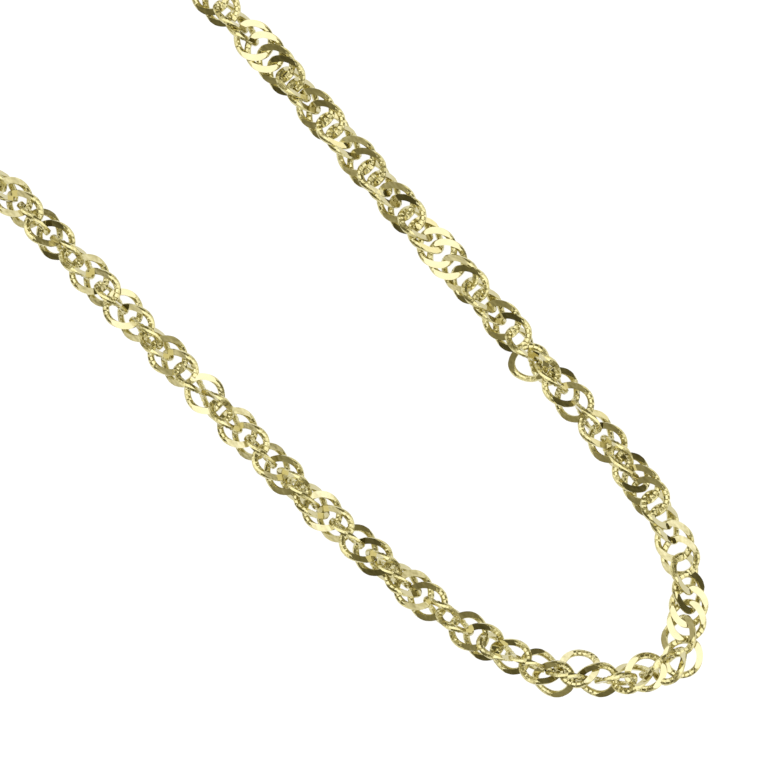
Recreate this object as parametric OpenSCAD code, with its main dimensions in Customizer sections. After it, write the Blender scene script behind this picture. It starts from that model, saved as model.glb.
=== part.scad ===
/* [Chain] */
// How far each link is rolled about the chain from the one before it
link_roll = 48; // [42:1:56]
// Play between two links that hook each other, measured along the chain
link_play = 0.24; // [0.2:0.02:0.3]
/* [Links] */
// Length of a link, outside
link_length = 2.44; // [2.3:0.02:2.8]
// Width of a link, outside
link_width = 2.1; // [1.9:0.02:2.3]
// Diameter of a link's wire
link_wire = 0.24; // [0.18:0.01:0.26]
// Thickness left between the flats cut on a link's two faces
link_flat = 0.2; // [0.14:0.01:0.23]
// Lean of a link's long axis to the run of the chain
link_lean = 20; // [10:1:26]
/* [Clasp] */
// Diameter of the clasp's ring, to the middle of its wire
clasp_d = 5.4; // [5:0.1:7]
// Diameter of the clasp's wire
clasp_wire = 1.1; // [0.9:0.05:1.2]
// Diameter of the eye on the clasp, to the middle of its wire
eye_d = 2.2; // [2.1:0.1:2.6]
// Diameter of the eye's wire
eye_wire = 0.6; // [0.5:0.05:0.7]
// Tilt of the clasp as it lies
clasp_tilt = 20; // [15:1:25]
/* [Rings] */
// Diameter of the rings at the chain's two ends, to the middle of their wire
ring_d = 3.2; // [3:0.1:3.6]
// Diameter of the rings' wire
ring_wire = 0.6; // [0.5:0.05:0.65]
// Tilt of the rings, the other way from the clasp's
ring_tilt = 42; // [38:1:46]
// Gap left where pieces touch on the real chain
clearance = 0.12; // [0.1:0.01:0.2]
/* [Hidden] */
$fn = 24;
gold = [0.86, 0.76, 0.42];
// Points worked out between two of the route's own
steps = 12;
// Sides of the tubes, and the greatest length between two of their rings
tube_sides = 8;
tube_step = 5.6;

// The chain's route in plan, from the clasp down the right side, round the front and up the left side
right_route = [[3, 96.2], [8, 95.8], [15, 93.8], [25.5, 87.4], [34, 77], [39.2, 64], [40.6, 50],
    [38.6, 36], [33.8, 22], [27.2, 8], [20.4, -6], [14.4, -20], [10.4, -33], [8.8, -44]];
front_route = [[8.4, -52], [8.3, -58], [8, -63.6], [7.6, -69], [7.3, -74.2], [7, -79.4], [6.7, -84.4],
    [6.3, -88.4], [5.9, -91.4], [5, -94.2], [3.5, -96.6], [1.2, -98], [-1.5, -97.6], [-3.5, -95.8],
    [-5, -93.4], [-6, -90.7], [-6.6, -87.6], [-7.1, -83], [-7.4, -77.8], [-7.4, -72.4], [-7.3, -66.6],
    [-7.2, -60.4], [-7.2, -54.4]];
left_route = [[-7.6, -48], [-8.6, -41], [-10.8, -32], [-14.8, -20], [-20.6, -6], [-27.2, 8], [-33.8, 22],
    [-38.6, 36], [-40.6, 50], [-39.2, 64], [-34, 77], [-25.5, 87.4], [-15, 93.8], [-8, 95.8],
    [-3, 96.2]];
route = concat(right_route, front_route, left_route);

// Distance between the middles of neighbouring links, when each hooks the second one after it
link_pitch = (link_length - 2 * link_wire - link_play) / 2;

// One smooth curve through the route's points
function bend_between(r, i, t) =
    let (
        a = r[max(i - 1, 0)],
        b = r[i],
        c = r[i + 1],
        d = r[min(i + 2, len(r) - 1)]
    )
    (2 * b + (c - a) * t + (2 * a - 5 * b + 4 * c - d) * t * t + (3 * b - a - 3 * c + d) * t * t * t) / 2;
curve = [for (i = [0 : len(route) - 2], k = [0 : steps - 1]) bend_between(route, i, k / steps)];
// Length run along the curve up to each of its points
function step_to(i) = i < len(curve) ? norm(curve[i] - curve[i - 1]) : 0;
run = [for (i = 0, s = 0; i < len(curve); i = i + 1, s = s + step_to(i)) s];
curve_x = [for (i = [0 : len(curve) - 1]) [run[i], curve[i][0]]];
curve_y = [for (i = [0 : len(curve) - 1]) [run[i], curve[i][1]]];
// Place on the curve after a length of chain, and the way that the chain runs there
function along(s) = [lookup(s, curve_x), lookup(s, curve_y)];
function heading(s) =
    let (ahead = along(s + link_pitch / 2) - along(s - link_pitch / 2))
    atan2(ahead[1], ahead[0]);

// Links: the straight part and the bend of one, and the room that the rolled links take
half_run = (link_length - link_width) / 2;
bend_r = (link_width - link_wire) / 2;
chain_r = half_run * sin(link_lean) + link_width / 2;
front_start = run[len(right_route) * steps];
front_end = run[(len(right_route) + len(front_route) - 1) * steps];
front_links = floor((front_end - front_start) / link_pitch);
first_link = front_start + link_pitch / 2;
last_link = first_link + (front_links - 1) * link_pitch;

// The fastening, from the right end of the chain to the left: ring, eye, clasp, ring
ring_reach = (ring_d + ring_wire) / 2;
ring_to_eye = ring_d / 2 + eye_d / 2 - (ring_wire + eye_wire) / 2 - clearance;
eye_to_clasp = (eye_d + clasp_d) / 2 + (clasp_wire - eye_wire) / 2;
clasp_to_ring = clasp_d / 2 + ring_d / 2 - (clasp_wire + ring_wire) / 2 - clearance;
fastening = 2 * (ring_reach + clearance) + ring_to_eye + eye_to_clasp + clasp_to_ring;
clasp_ring_x = fastening / 2 - clearance - ring_reach;
eye_x = clasp_ring_x - ring_to_eye;
clasp_x = eye_x - eye_to_clasp;
end_ring_x = clasp_x - clasp_to_ring;
fastening_y = route[0][1];
fastening_z = max(
    clasp_d / 2 * sin(clasp_tilt) + clasp_wire / 2,
    ring_d / 2 * sin(ring_tilt) + ring_wire / 2
);
end_trim = fastening / 2 - route[0][0];

// One oval link in its own plane, its two faces cut flat
module link() {
    intersection() {
        union() {
            for (end = [-1, 1])
                translate([end * half_run, 0, 0])
                    rotate([0, 0, -90 * end])
                        rotate_extrude(angle = 180)
                            translate([bend_r, 0]) circle(d = link_wire);
            for (side = [-1, 1])
                translate([-half_run, side * bend_r, 0])
                    rotate([0, 90, 0]) cylinder(d = link_wire, h = 2 * half_run);
        }
        cube([2 * link_length, 2 * link_width, link_flat], center = true);
    }
}

// A stretch of the chain as one tube, with a flat side down
module chain_tube(from, to) {
    rings = ceil((to - from) / tube_step) + 1;
    corner_r = chain_r / cos(180 / tube_sides);
    points = [
        for (i = [0 : rings - 1], j = [0 : tube_sides - 1])
            let (
                s = from + (to - from) * i / (rings - 1),
                p = along(s),
                across = heading(s) - 90,
                turn = 360 * (j + 0.5) / tube_sides
            )
            [
                p[0] + corner_r * cos(turn) * cos(across),
                p[1] + corner_r * cos(turn) * sin(across),
                chain_r + corner_r * sin(turn)
            ]
    ];
    walls = [
        for (i = [0 : rings - 2], j = [0 : tube_sides - 1])
            let (next = (j + 1) % tube_sides)
            [i * tube_sides + j, i * tube_sides + next, (i + 1) * tube_sides + next, (i + 1) * tube_sides + j]
    ];
    near_end = [for (j = [tube_sides - 1 : -1 : 0]) j];
    far_end = [for (j = [0 : tube_sides - 1]) (rings - 1) * tube_sides + j];
    polyhedron(points = points, faces = concat(walls, [near_end, far_end]));
}

// A ring of round wire that lies at the fastening's height, tilted about the chain's run
module wire_ring(x, d, wire, tilt) {
    translate([x, fastening_y, fastening_z])
        rotate([tilt, 0, 0])
            rotate_extrude() translate([d / 2, 0]) circle(d = wire);
}

// The stretch round the front, link by link: each link passes through the two before it
module front_chain() {
    color(gold)
        for (k = [0 : front_links - 1]) {
            s = first_link + k * link_pitch;
            translate([along(s)[0], along(s)[1], chain_r])
                rotate([0, 0, heading(s)])
                    rotate([k * link_roll, 0, 0])
                        rotate([0, 0, link_lean]) link();
        }
}

// The two stretches from the front to the fastening
module back_chain() {
    color(gold) {
        chain_tube(end_trim, first_link - link_length / 2 - clearance);
        chain_tube(last_link + link_length / 2 + clearance, run[len(run) - 1] - end_trim);
    }
}

// The clasp, a plain ring with an eye soldered to it
module clasp() {
    color(gold) {
        wire_ring(clasp_x, clasp_d, clasp_wire, -clasp_tilt);
        wire_ring(eye_x, eye_d, eye_wire, -clasp_tilt);
    }
}

// The ring that holds the clasp's eye to the right end of the chain
module clasp_ring() {
    color(gold) wire_ring(clasp_ring_x, ring_d, ring_wire, ring_tilt);
}

// The ring on the left end of the chain, with the clasp closed through it
module end_ring() {
    color(gold) wire_ring(end_ring_x, ring_d, ring_wire, ring_tilt);
}

front_chain();
back_chain();
clasp();
clasp_ring();
end_ring();
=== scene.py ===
import math
import random

import bmesh
import bpy
from mathutils import Matrix, Vector


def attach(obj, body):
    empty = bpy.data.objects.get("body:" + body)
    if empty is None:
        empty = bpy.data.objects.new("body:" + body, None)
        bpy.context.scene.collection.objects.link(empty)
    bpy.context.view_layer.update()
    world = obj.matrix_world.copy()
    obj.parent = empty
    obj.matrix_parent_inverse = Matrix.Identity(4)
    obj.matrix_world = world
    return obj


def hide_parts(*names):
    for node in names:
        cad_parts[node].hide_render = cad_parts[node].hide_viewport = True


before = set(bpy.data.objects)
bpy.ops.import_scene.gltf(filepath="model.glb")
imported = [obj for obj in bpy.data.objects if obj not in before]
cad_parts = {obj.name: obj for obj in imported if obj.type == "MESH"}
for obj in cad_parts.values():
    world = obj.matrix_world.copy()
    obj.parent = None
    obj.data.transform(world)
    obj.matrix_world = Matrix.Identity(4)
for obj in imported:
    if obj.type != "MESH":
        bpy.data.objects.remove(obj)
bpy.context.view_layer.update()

mm = 0.001
print("frame loaded:", sorted(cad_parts))


def clearSelection():
    if bpy.context.object and bpy.context.object.mode != "OBJECT":
        bpy.ops.object.mode_set(mode="OBJECT")
    bpy.ops.object.select_all(action="DESELECT")


def pick(piece, kind, wanted):
    # in edit mode: selects only the verts, edges or faces that wanted() says yes to
    bpy.ops.mesh.select_mode(type=kind)
    bpy.ops.mesh.select_all(action="DESELECT")
    mesh = bmesh.from_edit_mesh(piece.data)
    for part in {"VERT": mesh.verts, "EDGE": mesh.edges, "FACE": mesh.faces}[kind]:
        if wanted(part):
            part.select_set(True)
    mesh.select_flush_mode()
    bmesh.update_edit_mesh(piece.data)


def toLinear(hexColour):
    # "#rrggbb" as it looks on a screen, to the linear values that a shader wants
    parts = [int(hexColour[i:i + 2], 16) / 255 for i in (1, 3, 5)]
    return [p / 12.92 if p <= 0.04045 else ((p + 0.055) / 1.055) ** 2.4 for p in parts] + [1.0]


def addNode(tree, kind, values=None, links=None, **settings):
    # adds a node, sets its properties, its unlinked sockets and its incoming links
    node = tree.nodes.new(kind)
    for name, value in settings.items():
        setattr(node, name, value)
    for name, value in (values or {}).items():
        node.inputs[name].default_value = value
    for name, source in (links or {}).items():
        tree.links.new(source, node.inputs[name])
    return node


# Gold of 14 carat: with a good deal of silver in it, so paler and a little greener than pure gold.

goldLook = {
    "wire": "#dbd6ae",       # the wire's metal, and how deep its colour gets in the marks
    "wireDeep": "#c4b876",
    "facet": "#d3cdac",      # the same on the cut flats
    "facetDeep": "#c5bc8a",
    # least and greatest roughness, and length and height in mm of the marks, for each finish
    "drawn": (0.12, 0.26, 0.15, 0.02),
    "cut": (0.04, 0.1, 0.7, 0.022),
    "buffed": (0.08, 0.18, 0.9, 0.004),
    "markDetail": 2.0,       # how finely the marks break up
    "markRough": 0.55,
}


def makeGold(name, colour, deepColour, finish):
    # polished metal: what shows is its surroundings, a little broken up by the marks of its making
    roughFrom, roughTo, markLength, markHeight = finish
    material = bpy.data.materials.new(name)
    material.use_nodes = True
    tree = material.node_tree
    tree.nodes.clear()
    place = addNode(tree, "ShaderNodeTexCoord").outputs["Object"]
    marks = addNode(tree, "ShaderNodeTexNoise",
                    {"Scale": 1 / (markLength * mm), "Detail": goldLook["markDetail"],
                     "Roughness": goldLook["markRough"]}, {"Vector": place})
    tone = addNode(tree, "ShaderNodeMix", {"A": toLinear(colour), "B": toLinear(deepColour)},
                   {"Factor": marks.outputs["Fac"]}, data_type="RGBA")
    rough = addNode(tree, "ShaderNodeMapRange", {"To Min": roughFrom, "To Max": roughTo},
                    {"Value": marks.outputs["Fac"]})
    bump = addNode(tree, "ShaderNodeBump", {"Strength": 1.0, "Distance": markHeight * mm},
                   {"Height": marks.outputs["Fac"]})
    metal = addNode(tree, "ShaderNodeBsdfPrincipled", {"Metallic": 1.0},
                    {"Base Color": tone.outputs["Result"], "Roughness": rough.outputs["Result"],
                     "Normal": bump.outputs["Normal"]})
    addNode(tree, "ShaderNodeOutputMaterial", links={"Surface": metal.outputs["BSDF"]})
    return material


# drawn wire, tumbled bright after linking: its shine is broken up by small soft dents
drawnWire = makeGold("goldDrawnWire", goldLook["wire"], goldLook["wireDeep"], goldLook["drawn"])
# flats cut with a diamond tool: mirror bright, and so faintly wavy that the tone runs along each flat
cutFlat = makeGold("goldDiamondCutFlat", goldLook["facet"], goldLook["facetDeep"], goldLook["cut"])
# clasp and rings: cast or bent from thicker wire and buffed
buffed = makeGold("goldBuffed", goldLook["wire"], goldLook["wireDeep"], goldLook["buffed"])
print("three finishes of gold made")


# The link. It is modelled in millimetres, at the origin, and made small when it is placed.

linkSizes = {
    "halfLong": 1.015,    # middle of the wire to the link's middle, along the chain
    "halfWide": 0.92,     # and across it
    "wire": 0.37,         # width of the wire, seen on the link's face
    "wireTall": 1.16,     # its thickness before the flats are cut, as a share of that
    "curl": -22,          # degrees that each end is turned about the chain, as in any curb link
    "flats": 0.205,       # half the height left between the flats of the two faces
    # The real cross cuts are about 0.15 mm apart, too fine to show well, so they are drawn coarser, about
    # twice as far apart, five or six to each quarter of a face that has them.
    "nickLevel": 0.15,    # height that a cross cut leaves, on either side of the link's middle
    "nickLean": 0.55,     # how far the bottom of a cut is drawn aside, as a share of a section
    "nickFrom": -0.04,    # the quarters that have them, as shares of half a turn round the link
    "nickTo": 0.48,
    "nearly": 1e-4,       # how close to a flat's level a point counts as on it
    "fineMesh": (44, 10),    # sections round a link and sides of its wire, where it is seen close up
    "plainMesh": (14, 5),    # and on the way round to the clasp
}


def modelLink(name, mesh, nicked):
    clearSelection()
    sections, sides = mesh
    halfLong, halfWide, wire = linkSizes["halfLong"], linkSizes["halfWide"], linkSizes["wire"]
    flats = linkSizes["flats"]
    bpy.ops.mesh.primitive_torus_add(major_segments=sections, minor_segments=sides,
                                     major_radius=halfWide, minor_radius=wire / 2)
    link = bpy.context.object
    link.name = name
    link.data.materials.append(drawnWire)
    link.data.materials.append(cutFlat)
    bpy.ops.object.mode_set(mode="EDIT")
    bpy.ops.transform.resize(value=(halfLong / halfWide, 1, linkSizes["wireTall"]), center_override=(0, 0, 0))
    step = 2 * math.pi / sections

    def turnOf(place):
        return math.atan2(place.y / halfWide, place.x / halfLong)

    def inNicks(place):
        # above in two quarters of the link and below in the other two, where no flat will be
        turn = turnOf(place) * (1 if place.z > 0 else -1)
        stretch = linkSizes["nickTo"] - linkSizes["nickFrom"]
        return nicked and (turn / math.pi - linkSizes["nickFrom"]) % 1 < stretch

    # cross cuts: every other section of the wire is cut down to one level and drawn aside,
    # which leaves a steep narrow face and a broad one
    for side in (1, -1):
        pick(link, "VERT", lambda vert: vert.co.z * side > linkSizes["nickLevel"] and inNicks(vert.co)
             and round(turnOf(vert.co) / step) % 2 == 1)
        bpy.ops.transform.resize(value=(1, 1, 0), center_override=(0, 0, linkSizes["nickLevel"] * side))
        bpy.ops.transform.rotate(value=linkSizes["nickLean"] * step, orient_axis="Z",
                                 center_override=(0, 0, 0))
    bpy.ops.mesh.select_all(action="SELECT")
    bpy.ops.mesh.faces_shade_smooth()
    pick(link, "FACE", lambda face: inNicks(face.calc_center_median()))
    bpy.ops.mesh.faces_shade_flat()
    bpy.ops.object.mode_set(mode="OBJECT")
    curl = link.modifiers.new("curl", "SIMPLE_DEFORM")
    curl.deform_method = "TWIST"
    curl.deform_axis = "X"
    curl.angle = math.radians(linkSizes["curl"]) * (2 * halfLong + wire) / halfLong
    bpy.ops.object.modifier_apply(modifier="curl")
    bpy.ops.object.mode_set(mode="EDIT")
    for face in (1, -1):
        bpy.ops.mesh.select_all(action="SELECT")
        bpy.ops.mesh.bisect(plane_co=(0, 0, flats * face), plane_no=(0, 0, face),
                            use_fill=True, clear_outer=True)

    def isFlat(face):
        return all(abs(abs(vert.co.z) - flats) < linkSizes["nearly"] for vert in face.verts)

    pick(link, "FACE", isFlat)
    link.active_material_index = 1
    bpy.ops.object.material_slot_assign()
    bpy.ops.mesh.faces_shade_flat()
    bpy.ops.mesh.region_to_loop()
    bpy.ops.mesh.mark_sharp()
    bpy.ops.object.mode_set(mode="OBJECT")
    print(name, len(link.data.polygons), "faces")
    return link


# The chain. Its route in plan has the same points as the part's own, in metres.

chain = {
    "axisHeight": 1.105 * mm,   # the height at which the chain runs
    "swing": 2,                 # degrees that the links lie unevenly, either way
    "frontCount": 111,          # links of the stretch round the front
    "steps": 12,                # points worked out from each of the route's own to the next
}
rightRoute = [
    (0.003, 0.0962), (0.008, 0.0958), (0.015, 0.0938), (0.0255, 0.0874), (0.034, 0.077),
    (0.0392, 0.064), (0.0406, 0.05), (0.0386, 0.036), (0.0338, 0.022), (0.0272, 0.008),
    (0.0204, -0.006), (0.0144, -0.02), (0.0104, -0.033), (0.0088, -0.044)]
frontRoute = [
    (0.0084, -0.052), (0.0083, -0.058), (0.008, -0.0636), (0.0076, -0.069), (0.0073, -0.0742),
    (0.007, -0.0794), (0.0067, -0.0844), (0.0063, -0.0884), (0.0059, -0.0914), (0.005, -0.0942),
    (0.0035, -0.0966), (0.0012, -0.098), (-0.0015, -0.0976), (-0.0035, -0.0958), (-0.005, -0.0934),
    (-0.006, -0.0907), (-0.0066, -0.0876), (-0.0071, -0.083), (-0.0074, -0.0778), (-0.0074, -0.0724),
    (-0.0073, -0.0666), (-0.0072, -0.0604), (-0.0072, -0.0544)]
leftRoute = [
    (-0.0076, -0.048), (-0.0086, -0.041), (-0.0108, -0.032), (-0.0148, -0.02), (-0.0206, -0.006),
    (-0.0272, 0.008), (-0.0338, 0.022), (-0.0386, 0.036), (-0.0406, 0.05), (-0.0392, 0.064),
    (-0.034, 0.077), (-0.0255, 0.0874), (-0.015, 0.0938), (-0.008, 0.0958), (-0.003, 0.0962)]


def smoothRoute(points):
    # a smooth curve through the points, as the part's own
    curve = []
    for i in range(len(points) - 1):
        a, b, c, d = [Vector(points[min(max(j, 0), len(points) - 1)]) for j in range(i - 1, i + 3)]
        for k in range(chain["steps"]):
            t = k / chain["steps"]
            curve.append((2 * b + (c - a) * t + (2 * a - 5 * b + 4 * c - d) * t * t
                          + (3 * b - a - 3 * c + d) * t * t * t) / 2)
    return curve


curve = smoothRoute(rightRoute + frontRoute + leftRoute)
runs = [0.0]
for before, after in zip(curve, curve[1:]):
    runs.append(runs[-1] + (after - before).length)
frontStart = runs[len(rightRoute) * chain["steps"]]


def along(run):
    # the place on the route after that length of chain
    low, high = 0, len(runs) - 1
    while high - low > 1:
        middle = (low + high) // 2
        low, high = (middle, high) if runs[middle] <= run else (low, middle)
    return curve[low].lerp(curve[high], (run - runs[low]) / (runs[high] - runs[low]))


# How the links lie, charted where that changes: number of the link, its place in mm along the
# front stretch, and in degrees how far it is rolled about the chain and how far links with even numbers
# are rolled past that and the others short of it, so that they lie two by two. At a whole half turn,
# 180 times any number, a link lies face up. Between the rows all four change evenly.
chart = [
    (-199, -170.55, -9228, 0), (-190, -162.8, -8810, 19), (0, 0.64, -263, 19),
    # down the right side
    (4, 4.2, -85, 19), (5, 5.1, -43, 19),
    (6, 5.95, -13, 19), (7, 6.83, 25, 19), (8, 7.68, 1, 19), (9, 8.51, 47, 19),
    (10, 9.3, 105, 19), (11, 10.15, 149, 19), (12, 10.96, 180, 19), (13, 11.81, 221, 19),
    (14, 12.7, 297, 19), (15, 13.5, 330, 19), (16, 14.42, 360, 19), (17, 15.28, 401, 19),
    (18, 16.15, 477, 19), (19, 16.95, 510, 19), (20, 17.78, 540, 19), (21, 18.63, 585, 19),
    (22, 19.5, 646, 19), (23, 20.35, 696, 19),
    (24, 21.18, 709, 12), (25, 22.01, 739, 12), (26, 23.0, 745, 12), (27, 23.82, 762, 12),
    (28, 24.75, 826, 19), (29, 25.6, 870, 19), (30, 26.46, 903, 19), (31, 27.34, 945, 19),
    (33, 29.3, 1080, 0), (34, 29.9, 1140, 0), (36, 31.52, 1232, 0), (37, 32.5, 1280, 0),
    (39, 34.55, 1400, 0), (40, 35.38, 1460, 0),
    (44, 38.34, 1640, 0), (45, 39.17, 1642, 0), (46, 40.1, 1756, 0), (47, 40.98, 1751, 0),
    (48, 41.97, 1813, 0), (49, 42.9, 1815, 0), (50, 43.9, 1932, 0), (51, 44.94, 1943, 0),
    (52, 45.7, 1974, 0), (53, 46.5, 1992, 0), (54, 47.4, 2022, 0), (55, 48.3, 1990, 0),
    # round the front
    (56, 48.95, 2035, 0), (57, 49.5, 2078, 0), (58, 50.3, 2160, 0), (59, 51.1, 2212, 0),
    (60, 52.0, 2265, 0), (61, 53.0, 2308, 0), (62, 54.1, 2366, 0), (64, 55.35, 2497, 0),
    (67, 58.0, 2670, 0), (69, 59.7, 2855, 0), (70, 60.6, 2902, 0), (73, 63.5, 3042, 0),
    (74, 64.4, 3076, 0), (78, 67.4, 3218, 0),
    # up the left side
    (81, 70.18, 3385, 0), (82, 71.06, 3432, 0), (86, 74.03, 3580, 0), (89, 76.67, 3745, 0),
    (90, 77.6, 3792, 0), (93, 80.25, 3955, 0), (95, 82.28, 4105, 0), (96, 83.1, 4158, 0),
    (99, 85.75, 4285, 0), (100, 86.68, 4332, 0), (102, 88.44, 4465, 0), (103, 89.32, 4512, 0),
    (106, 92.07, 4658, 0), (109, 94.5, 4825, 0), (110, 95.32, 4872, 0),
    (311, 268.43, 13992, 0),
]
# Links that stick out of the row: their number, how far to the left of it they lie, in mm, and in degrees
# how far they are turned where they lie and then tipped to the right.
strays = {33: (-0.42, 76, 22), 54: (-0.15, 0, 0), 55: (0.62, 0, 0), 56: (0.45, 12, 0), 62: (-0.5, 29, 0),
          64: (0.35, 6, 0)}


def readChart(number):
    # place and roll of that link
    for before, after in zip(chart, chart[1:]):
        if number <= after[0]:
            share = (number - before[0]) / (after[0] - before[0])
            place, roll, pairing = [a + (b - a) * share for a, b in zip(before[1:], after[1:])]
            return place * mm, roll + (pairing if number % 2 == 0 else -pairing)


def placeLinks(name, link, numbers, node):
    # copies the link to each of its places and fuses the copies into one piece
    rng = random.Random(len(numbers))   # the same draws at every run
    copies = []
    for number in numbers:
        place, roll = readChart(number)
        run = frontStart + place
        ahead = along(run + mm / 2) - along(run - mm / 2)
        heading = math.atan2(ahead.y, ahead.x)
        aside, turned, tipped = strays.get(number, (0, 0, 0))
        here = along(run) + Vector((-ahead.y, ahead.x)).normalized() * aside * mm
        unevenly = [math.radians(rng.uniform(-1, 1) * chain["swing"]) for axis in "XYZ"]
        copy = link.copy()
        copy.data = link.data.copy()
        copy.matrix_world = (Matrix.Translation((here.x, here.y, chain["axisHeight"]))
                             @ Matrix.Rotation(heading, 4, "Z")
                             @ Matrix.Rotation(math.radians(tipped), 4, "X")
                             @ Matrix.Rotation(math.radians(turned), 4, "Z")
                             @ Matrix.Rotation(math.radians(roll) + unevenly[0], 4, "X")
                             @ Matrix.Rotation(unevenly[1], 4, "Y")
                             @ Matrix.Rotation(unevenly[2], 4, "Z") @ Matrix.Scale(mm, 4))
        bpy.context.scene.collection.objects.link(copy)
        copies.append(copy)
    clearSelection()
    for copy in copies:
        copy.select_set(True)
    bpy.context.view_layer.objects.active = copies[0]
    bpy.ops.object.join()
    piece = bpy.context.object
    bpy.ops.object.transform_apply(location=True, rotation=True, scale=True)
    piece.name = piece.data.name = name
    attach(piece, "root")
    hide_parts(node)
    print(name, len(copies), "links,", len(piece.data.polygons), "faces")


fineLink = modelLink("fineLink", linkSizes["fineMesh"], True)
plainLink = modelLink("plainLink", linkSizes["plainMesh"], False)
frontNumbers = range(chain["frontCount"])
backNumbers = [*range(chart[0][0], 0), *range(chain["frontCount"], chart[-1][0] + 1)]
placeLinks("frontLinks", fineLink, frontNumbers, "front_chain")
placeLinks("backLinks", plainLink, backNumbers, "back_chain")
for pattern in (fineLink, plainLink):
    bpy.data.objects.remove(pattern)

for node in ("clasp", "clasp_ring", "end_ring"):
    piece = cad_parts[node]
    piece.data.materials.clear()
    piece.data.materials.append(buffed)
print("clasp and rings finished")


# Floor, studio and camera.

studio = {
    "floorWidth": 3.0,
    "floorDrop": 0.02 * mm,   # how far it stays under the lowest links
    "floorColour": "#707070",
    "floorRough": 0.6,
    "floorLight": "#ffffff",
    "floorGlow": 0.92,
    "tent": 1.78,             # brightness of the white tent straight above
    # from straight above (0) to level with the floor (1): how bright the tent is, as a share of that,
    # and how warm, as its dim sides stand for the warm room around it
    "sides": [(0.34, 1, 0), (0.44, 0.67, 0.3), (0.52, 0.43, 0.6), (0.6, 0.27, 0.8), (0.7, 0.15, 0.9),
              (0.8, 0.06, 1), (0.92, 0.2, 0.9), (1.0, 1.0, 0.3)],
    "warm": "#e5da96",
    "lengthways": 0.38,       # along the chain it dims more slowly, as it is wider open there
}


def setFloor():
    clearSelection()
    bpy.ops.mesh.primitive_plane_add(size=studio["floorWidth"], location=(0, 0, -studio["floorDrop"]))
    floor = bpy.context.object
    floor.name = "floor"
    # opal acrylic, lit from below as a light table is: a plain white without shadows
    material = bpy.data.materials.new("whiteAcrylic")
    material.use_nodes = True
    tree = material.node_tree
    tree.nodes.clear()
    paint = addNode(tree, "ShaderNodeBsdfPrincipled",
                    {"Base Color": toLinear(studio["floorColour"]), "Roughness": studio["floorRough"],
                     "Emission Color": toLinear(studio["floorLight"]),
                     "Emission Strength": studio["floorGlow"]})
    addNode(tree, "ShaderNodeOutputMaterial", links={"Surface": paint.outputs["BSDF"]})
    floor.data.materials.append(material)


def setTent():
    # a white tent, bright above and dimmer round its sides, which gives the flats their contrast
    world = bpy.data.worlds.new("studioTent")
    bpy.context.scene.world = world
    world.use_nodes = True
    tree = world.node_tree
    tree.nodes.clear()
    toward = addNode(tree, "ShaderNodeTexCoord").outputs["Generated"]
    flat = addNode(tree, "ShaderNodeVectorMath", {1: (1, studio["lengthways"], 0)}, {0: toward},
                   operation="MULTIPLY")
    aside = addNode(tree, "ShaderNodeVectorMath", links={0: flat.outputs["Vector"]}, operation="LENGTH")
    dimming = addNode(tree, "ShaderNodeValToRGB", links={"Fac": aside.outputs["Value"]})
    while len(dimming.color_ramp.elements) < len(studio["sides"]):
        dimming.color_ramp.elements.new(0.5)
    for stop, (place, share, warmth) in zip(dimming.color_ramp.elements, studio["sides"]):
        stop.position = place
        stop.color = [share * (1 + (part - 1) * warmth) for part in toLinear(studio["warm"])[:3]] + [1]
    sky = addNode(tree, "ShaderNodeBackground", {"Strength": studio["tent"]},
                  {"Color": dimming.outputs["Color"]})
    addNode(tree, "ShaderNodeOutputWorld", links={"Surface": sky.outputs["Background"]})


view = {
    "middle": (0, -0.076, 0.0011),   # what the middle of the picture looks at
    "width": 0.0417,                 # what the picture takes in there
    "lens": 200,                     # mm, a long one, as the picture hardly narrows with distance
    "turn": -45,                     # degrees about the upright, which lays the chain slanting
    "clip": (0.01, 20),              # nearest and farthest that it sees
}


def setCamera():
    bpy.ops.object.camera_add(rotation=(0, 0, math.radians(view["turn"])))
    camera = bpy.context.object
    camera.data.lens = view["lens"]
    distance = view["width"] * view["lens"] / camera.data.sensor_width
    camera.location = Vector(view["middle"]) + Vector((0, 0, distance))
    camera.data.clip_start, camera.data.clip_end = view["clip"]
    bpy.context.scene.camera = camera


setFloor()
setTent()
setCamera()
bpy.context.scene.view_settings.view_transform = "Standard"
print("studio set")
